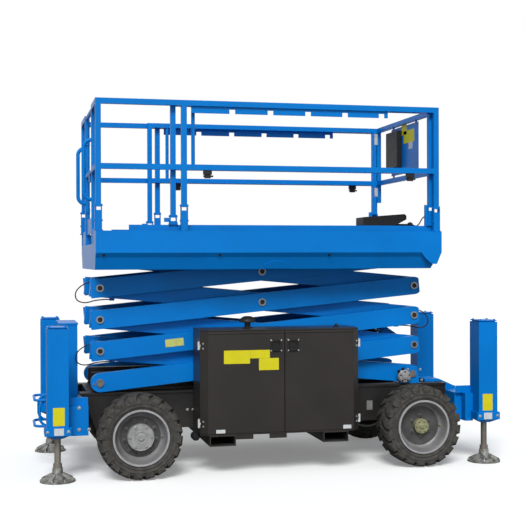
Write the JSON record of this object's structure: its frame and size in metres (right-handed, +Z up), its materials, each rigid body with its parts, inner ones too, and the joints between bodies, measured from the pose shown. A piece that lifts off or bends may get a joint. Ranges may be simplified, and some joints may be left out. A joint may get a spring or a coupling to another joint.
{
  "type": "rough-terrain scissor lift",
  "caption": "Self-propelled scissor lift with a railed platform and roll-out deck on stacked crossing arms, lugged tyres, side bays and corner outriggers.",
  "frame": {"origin": "on the ground under the middle of the machine's overall length and width", "axes": "+X towards the steered end that the platform extends to, +Y to the machine's left, +Z up"},
  "size_m": [3.816, 1.75, 2.936],
  "materials": {
    "blue_paint": "gloss",
    "black_paint": "satin",
    "tyre": "matte",
    "rim": "satin",
    "cast_grey": "rough",
    "chrome_rod": "polished",
    "hose_rubber": "matte",
    "black_plastic": "matte"
  },
  "bodies": {
    "chassis": {"chassis_frame": "black_paint", "fork_pockets": "black_paint", "scissor_base": "black_paint", "axle_rear": "black_paint", "axle_front": "black_paint", "outrigger_frame_front": "blue_paint", "outrigger_frame_rear": "blue_paint", "rear_steps": "blue_paint", "bay_near": "black_paint", "bay_far": "black_paint", "breather": "black_paint", "engine_block": "black_paint", "tank_block": "black_paint"},
    "platform": {"platform_deck": "blue_paint", "rails_near": "blue_paint", "rails_far": "blue_paint", "rails_rear": "blue_paint", "rail_latches": "black_plastic"},
    "extension": {"extension_deck": "blue_paint", "extension_rails": "blue_paint", "end_plate": "blue_paint", "manual_holder": "black_plastic", "control_box": "black_plastic", "control_cable": "hose_rubber"},
    "gate": {"gate": "blue_paint"},
    "lift_barrel": {"lift_barrel": "black_paint"},
    "lift_rod": {"lift_rod": "chrome_rod"},
    "inner_1": {"arm_inner_1": "blue_paint", "hose_left_low": "hose_rubber"},
    "outer_1": {"arm_outer_1": "blue_paint"},
    "inner_2": {"arm_inner_2": "blue_paint"},
    "outer_2": {"arm_outer_2": "blue_paint"},
    "inner_3": {"arm_inner_3": "blue_paint", "hose_left_high": "hose_rubber", "hose_right_mid": "hose_rubber"},
    "outer_3": {"arm_outer_3": "blue_paint"},
    "inner_4": {"arm_inner_4": "blue_paint"},
    "outer_4": {"arm_outer_4": "blue_paint"},
    "knuckle_near": {"knuckle_near": "black_paint"},
    "wheel_near_front": {"tyre_near_front": "tyre", "rim_near_front": "rim"},
    "leg_near_front": {"leg_near_front": "cast_grey"},
    "door_near_front": {"door_near_front": "black_paint"},
    "wheel_near_rear": {"tyre_near_rear": "tyre", "rim_near_rear": "rim"},
    "leg_near_rear": {"leg_near_rear": "cast_grey"},
    "door_near_rear": {"door_near_rear": "black_paint"},
    "knuckle_far": {"knuckle_far": "black_paint"},
    "wheel_far_front": {"tyre_far_front": "tyre", "rim_far_front": "rim"},
    "leg_far_front": {"leg_far_front": "cast_grey"},
    "door_far_front": {"door_far_front": "black_paint"},
    "wheel_far_rear": {"tyre_far_rear": "tyre", "rim_far_rear": "rim"},
    "leg_far_rear": {"leg_far_rear": "cast_grey"},
    "door_far_rear": {"door_far_rear": "black_paint"}
  },
  "joints": [
    {"name": "scissor_lift", "type": "hinge", "parent": "chassis", "child": "inner_1", "pos_m": [1.282, 0, 0.713], "axis": [0, 1, 0], "range_deg": [0, 53.9]},
    {"name": "cross_1", "type": "hinge", "parent": "inner_1", "child": "outer_1", "pos_m": [-0.0455, 0, 0.839], "axis": [0, -1, 0], "range_deg": [0, 107.8]},
    {"name": "joint_1_2", "type": "hinge", "parent": "outer_1", "child": "inner_2", "pos_m": [1.282, 0, 0.965], "axis": [0, 1, 0], "range_deg": [0, 107.8]},
    {"name": "cross_2", "type": "hinge", "parent": "inner_2", "child": "outer_2", "pos_m": [-0.0455, 0, 1.091], "axis": [0, -1, 0], "range_deg": [0, 107.8]},
    {"name": "joint_2_3", "type": "hinge", "parent": "outer_2", "child": "inner_3", "pos_m": [1.282, 0, 1.217], "axis": [0, 1, 0], "range_deg": [0, 107.8]},
    {"name": "cross_3", "type": "hinge", "parent": "inner_3", "child": "outer_3", "pos_m": [-0.0455, 0, 1.343], "axis": [0, -1, 0], "range_deg": [0, 107.8]},
    {"name": "joint_3_4", "type": "hinge", "parent": "outer_3", "child": "inner_4", "pos_m": [1.282, 0, 1.469], "axis": [0, 1, 0], "range_deg": [0, 107.8]},
    {"name": "cross_4", "type": "hinge", "parent": "inner_4", "child": "outer_4", "pos_m": [-0.0455, 0, 1.595], "axis": [0, -1, 0], "range_deg": [0, 107.8]},
    {"name": "platform_level", "type": "hinge", "parent": "outer_4", "child": "platform", "pos_m": [1.282, 0, 1.721], "axis": [0, 1, 0], "range_deg": [0, 53.9]},
    {"name": "barrel_tilt", "type": "hinge", "parent": "inner_1", "child": "lift_barrel", "pos_m": [0.21669, 0, 0.77896], "axis": [0, -1, 0], "range_deg": [0, 114.86]},
    {"name": "rod_stroke", "type": "slide", "parent": "lift_barrel", "child": "lift_rod", "axis": [0.956, 0, 0.2933], "range_m": [0, 0.4349]},
    {"name": "extension_slide", "type": "slide", "parent": "platform", "child": "extension", "axis": [1, 0, 0], "range_m": [0, 1.52]},
    {"name": "gate_swing", "type": "hinge", "parent": "platform", "child": "gate", "pos_m": [-1.414, 0.3105, 2.4], "axis": [0, 0, 1], "range_deg": [0, 90]},
    {"name": "steer_near", "type": "hinge", "parent": "chassis", "child": "knuckle_near", "pos_m": [1.198, -0.6, 0.33], "axis": [0, 0, 1], "range_deg": [-28, 28]},
    {"name": "spin_near_front", "type": "hinge", "parent": "knuckle_near", "child": "wheel_near_front", "pos_m": [1.198, -0.7225, 0.33], "axis": [0, 1, 0], "continuous": true},
    {"name": "spin_near_rear", "type": "hinge", "parent": "chassis", "child": "wheel_near_rear", "pos_m": [-1.098, -0.7225, 0.33], "axis": [0, 1, 0], "continuous": true},
    {"name": "steer_far", "type": "hinge", "parent": "chassis", "child": "knuckle_far", "pos_m": [1.198, 0.6, 0.33], "axis": [0, 0, 1], "range_deg": [-28, 28]},
    {"name": "spin_far_front", "type": "hinge", "parent": "knuckle_far", "child": "wheel_far_front", "pos_m": [1.198, 0.7225, 0.33], "axis": [0, 1, 0], "continuous": true},
    {"name": "spin_far_rear", "type": "hinge", "parent": "chassis", "child": "wheel_far_rear", "pos_m": [-1.098, 0.7225, 0.33], "axis": [0, 1, 0], "continuous": true},
    {"name": "leg_slide_near_front", "type": "slide", "parent": "chassis", "child": "leg_near_front", "axis": [0, 0, 1], "range_m": [0, 0.185]},
    {"name": "leg_slide_near_rear", "type": "slide", "parent": "chassis", "child": "leg_near_rear", "axis": [0, 0, 1], "range_m": [0, 0.185]},
    {"name": "leg_slide_far_front", "type": "slide", "parent": "chassis", "child": "leg_far_front", "axis": [0, 0, 1], "range_m": [0, 0.185]},
    {"name": "leg_slide_far_rear", "type": "slide", "parent": "chassis", "child": "leg_far_rear", "axis": [0, 0, 1], "range_m": [0, 0.185]},
    {"name": "door_swing_near_rear", "type": "hinge", "parent": "chassis", "child": "door_near_rear", "pos_m": [-0.6365, -0.764, 0.73], "axis": [0, 0, -1], "range_deg": [0, 95]},
    {"name": "door_swing_near_front", "type": "hinge", "parent": "chassis", "child": "door_near_front", "pos_m": [0.6805, -0.764, 0.73], "axis": [0, 0, 1], "range_deg": [0, 95]},
    {"name": "door_swing_far_rear", "type": "hinge", "parent": "chassis", "child": "door_far_rear", "pos_m": [-0.6365, 0.764, 0.73], "axis": [0, 0, 1], "range_deg": [0, 95]},
    {"name": "door_swing_far_front", "type": "hinge", "parent": "chassis", "child": "door_far_front", "pos_m": [0.6805, 0.764, 0.73], "axis": [0, 0, -1], "range_deg": [0, 95]}
  ],
  "couplings": [
    {"joint": "cross_1", "follows": "scissor_lift", "ratio": 2},
    {"joint": "joint_1_2", "follows": "scissor_lift", "ratio": 2},
    {"joint": "cross_2", "follows": "scissor_lift", "ratio": 2},
    {"joint": "joint_2_3", "follows": "scissor_lift", "ratio": 2},
    {"joint": "cross_3", "follows": "scissor_lift", "ratio": 2},
    {"joint": "joint_3_4", "follows": "scissor_lift", "ratio": 2},
    {"joint": "cross_4", "follows": "scissor_lift", "ratio": 2},
    {"joint": "platform_level", "follows": "scissor_lift", "ratio": 1},
    {"joint": "barrel_tilt", "follows": "scissor_lift", "ratio": 2.1301},
    {"joint": "rod_stroke", "follows": "scissor_lift", "m_per_rad": 0.46181},
    {"joint": "steer_far", "follows": "steer_near", "ratio": 1}
  ]
}
